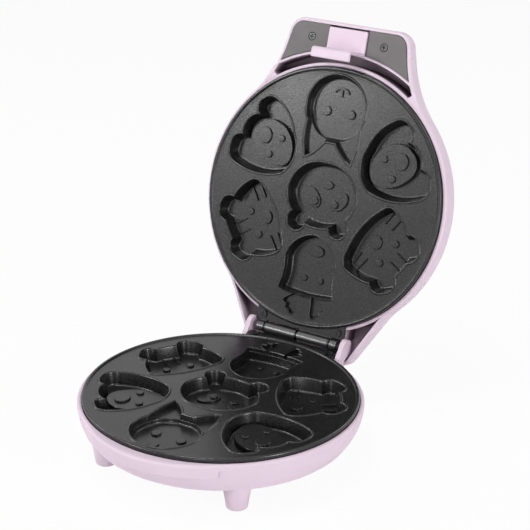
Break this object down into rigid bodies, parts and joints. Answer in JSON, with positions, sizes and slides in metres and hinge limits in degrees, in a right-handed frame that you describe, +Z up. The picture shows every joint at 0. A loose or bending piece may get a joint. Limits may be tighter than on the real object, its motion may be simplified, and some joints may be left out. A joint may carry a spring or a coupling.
{
  "type": "snack maker with animal moulds",
  "caption": "Round hinged snack maker with animal-face moulds in black non-stick plates, a pale pink casing on short legs, a flared front handle and a sprung latch.",
  "frame": {"origin": "on the table top under the centre of the plates", "axes": "+X along the hinge to the user's right, -Y to the front where the handle shuts, +Z up"},
  "size_m": [0.2126, 0.3076, 0.287],
  "materials": {
    "casing_plastic": "satin moulded plastic, pale lilac pink",
    "plate_coating": "black non-stick coating on cast aluminium",
    "reflector_sheet": "plain rolled sheet",
    "heater_tube": "oxidised steel tube",
    "hinge_metal": "black painted steel, satin",
    "steel": "plain steel",
    "insert_plastic": "dark grey heat-resistant plastic, fine grain",
    "thermostat_body": "ceramic-filled body",
    "terminal_plastic": "natural plastic",
    "lead_sleeve": "silicone-sleeved wire",
    "grommet_rubber": "black rubber",
    "pad_rubber": "grey rubber",
    "red_lens": "clear red plastic",
    "green_lens": "clear green plastic",
    "lamp_glass": "neon lamp bulb"
  },
  "bodies": {
    "base": {"base_casing": "casing_plastic", "base_plate": "plate_coating", "base_heater": "heater_tube", "base_heater_clamps": "steel", "base_reflector": "reflector_sheet", "base_plate_screws": "steel", "thermostat": "thermostat_body", "thermal_fuse": "steel", "fuse_clip": "steel", "terminal_block": "terminal_plastic", "base_leads": "lead_sleeve", "cord_grommet": "grommet_rubber", "base_hinge_leaf": "hinge_metal", "base_hinge_screws": "hinge_metal", "hinge_pin": "steel", "foot_pad_front_left": "pad_rubber", "foot_pad_front_right": "pad_rubber", "foot_pad_rear_left": "pad_rubber", "foot_pad_rear_right": "pad_rubber"},
    "lid": {"lid_casing": "casing_plastic", "lid_plate": "plate_coating", "lid_heater": "heater_tube", "lid_heater_clamps": "steel", "lid_reflector": "reflector_sheet", "lid_push_nuts": "steel", "lid_leads": "lead_sleeve", "lid_hinge_leaf": "hinge_metal", "lid_hinge_screws": "hinge_metal", "handle_insert": "insert_plastic", "handle_screws": "hinge_metal", "power_lens": "red_lens", "ready_lens": "green_lens", "indicator_lamps": "lamp_glass", "latch_pin": "steel", "latch_spring": "steel"},
    "latch": {"latch": "casing_plastic"}
  },
  "joints": [
    {"name": "lid_hinge", "type": "hinge", "parent": "base", "child": "lid", "pos_m": [0, 0.1113, 0.0493], "axis": [1, 0, 0], "range_deg": [0, 106]},
    {"name": "latch_pivot", "type": "hinge", "parent": "lid", "child": "latch", "pos_m": [0, 0.17847, 0.27014], "axis": [1, 0, 0], "range_deg": [-18, 0], "stiffness_Nm_per_rad": 0.05, "deforming": ["latch_spring"]}
  ]
}
